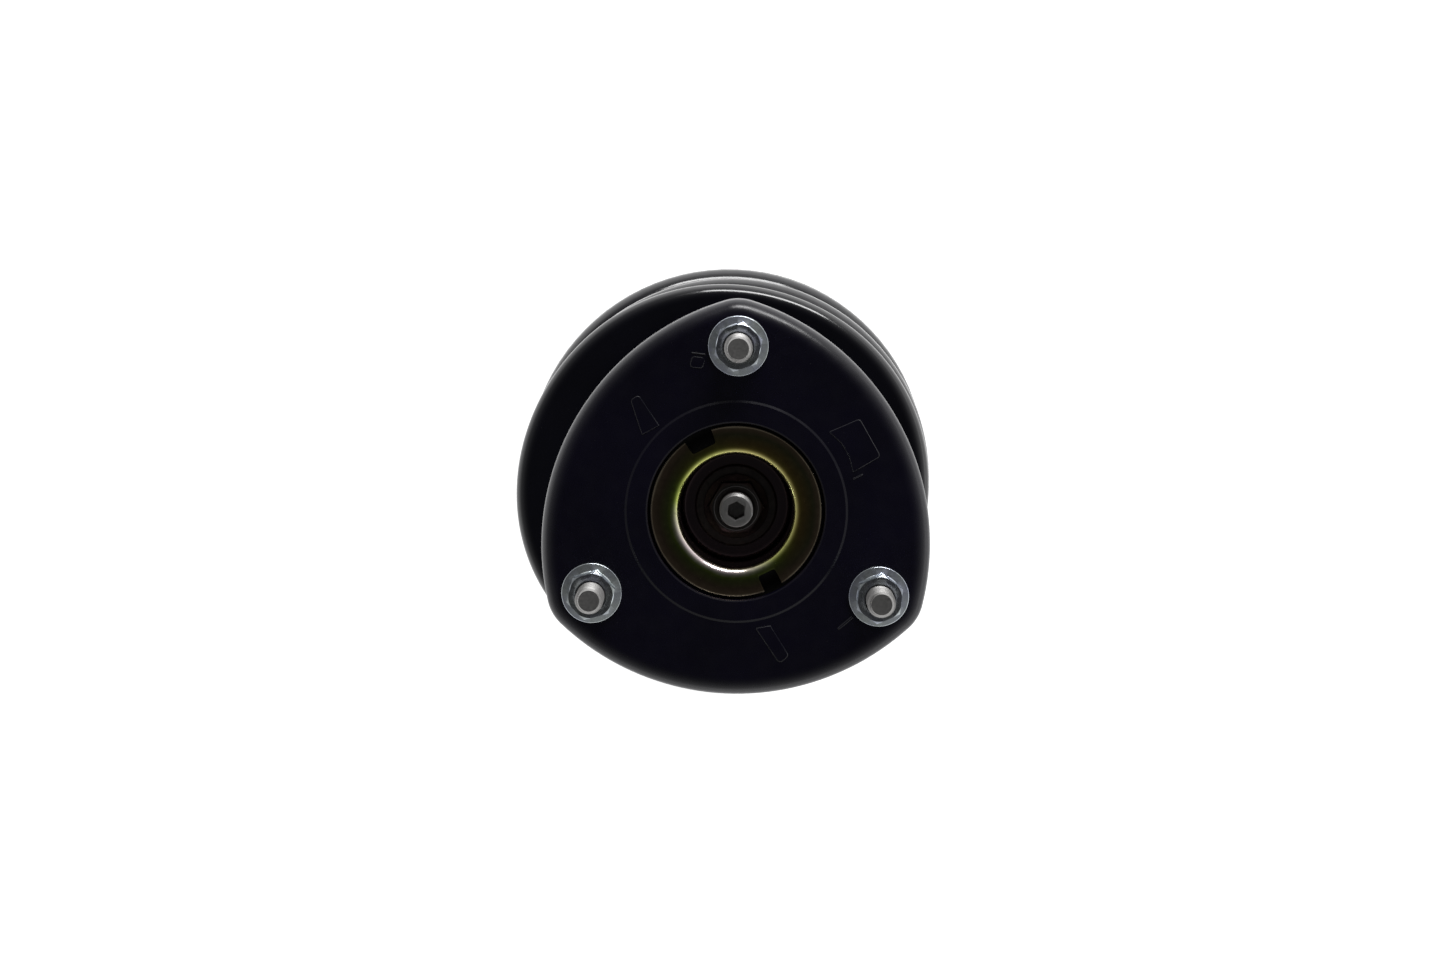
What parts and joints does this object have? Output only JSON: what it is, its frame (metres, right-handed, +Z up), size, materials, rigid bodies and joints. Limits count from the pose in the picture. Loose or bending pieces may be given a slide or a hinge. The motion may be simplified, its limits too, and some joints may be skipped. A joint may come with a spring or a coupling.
{
  "type": "coilover",
  "caption": "Coil-spring suspension strut: triangular stud mount with bearing, offset spring seat, coil spring round a damper, and a two-bolt knuckle bracket.",
  "frame": {"origin": "on the strut's axis, in the plane of the mount plate's top face", "axes": "+Z up along the strut's axis and the studs; -Y towards the knuckle bracket's open side"},
  "size_m": [0.1619, 0.1607, 0.5372],
  "materials": {
    "black_coat": "satin black electrophoretic coat",
    "bright_zinc": "bright blue-white zinc plate",
    "steel": "plain machined or lightly plated steel",
    "yellow_zinc": "iridescent yellow zinc plate",
    "black_rubber": "moulded black rubber",
    "foam": "cellular foam",
    "plastic": "moulded plastic",
    "chrome": "polished",
    "bronze": "sintered bronze"
  },
  "bodies": {
    "top_mount": {"mount_plate": "black_coat", "mount_stud_1": "steel", "mount_stud_2": "steel", "mount_stud_3": "steel", "flange_nut_1": "bright_zinc", "flange_nut_2": "bright_zinc", "flange_nut_3": "bright_zinc", "mount_lower_shell": "black_coat", "mount_rubber": "black_rubber", "mount_hub": "steel", "rebound_cup": "yellow_zinc", "rod_washer": "steel", "rod_nut": "steel", "piston_rod": "chrome", "bump_stop_cup": "steel", "bump_stop": "foam", "rebound_stop": "plastic", "piston_valve_disc": "steel", "piston": "steel", "piston_band": "plastic", "piston_nut": "steel", "bearing_upper_race": "steel"},
    "ball_cage": {"bearing_cage": "plastic", "bearing_ball_01": "chrome", "bearing_ball_02": "chrome", "bearing_ball_03": "chrome", "bearing_ball_04": "chrome", "bearing_ball_05": "chrome", "bearing_ball_06": "chrome", "bearing_ball_07": "chrome", "bearing_ball_08": "chrome", "bearing_ball_09": "chrome", "bearing_ball_10": "chrome", "bearing_ball_11": "chrome", "bearing_ball_12": "chrome"},
    "swivel": {"bearing_lower_race": "steel", "bearing_seal": "black_rubber", "upper_spring_seat": "black_coat", "upper_insulator": "black_rubber", "coil_spring": "black_coat", "dust_boot": "black_rubber"},
    "strut_body": {"outer_tube": "black_coat", "inner_cylinder": "steel", "gland_cap": "steel", "rod_seal": "black_rubber", "rod_guide": "steel", "guide_bush": "bronze", "base_valve": "steel", "bottom_cap": "black_coat", "lower_spring_seat": "black_coat", "lower_insulator": "black_rubber", "knuckle_bracket": "black_coat", "hose_bracket": "black_coat", "stabiliser_link_bracket": "black_coat"}
  },
  "joints": [
    {"name": "steer_swivel", "type": "hinge", "parent": "top_mount", "child": "swivel", "pos_m": [0, 0, -0.0408], "axis": [0, 0, 1], "range_deg": [-40, 40]},
    {"name": "cage_roll", "type": "hinge", "parent": "top_mount", "child": "ball_cage", "pos_m": [0, 0, -0.0408], "axis": [0, 0, 1], "range_deg": [-20.5, 20.5]},
    {"name": "stroke", "type": "slide", "parent": "swivel", "child": "strut_body", "axis": [0, 0, 1], "range_m": [0, 0.13], "stiffness_N_per_m": 25000, "springref_m": -0.04, "deforming": ["coil_spring", "dust_boot"]}
  ],
  "couplings": [
    {"joint": "cage_roll", "follows": "steer_swivel", "ratio": 0.5}
  ]
}
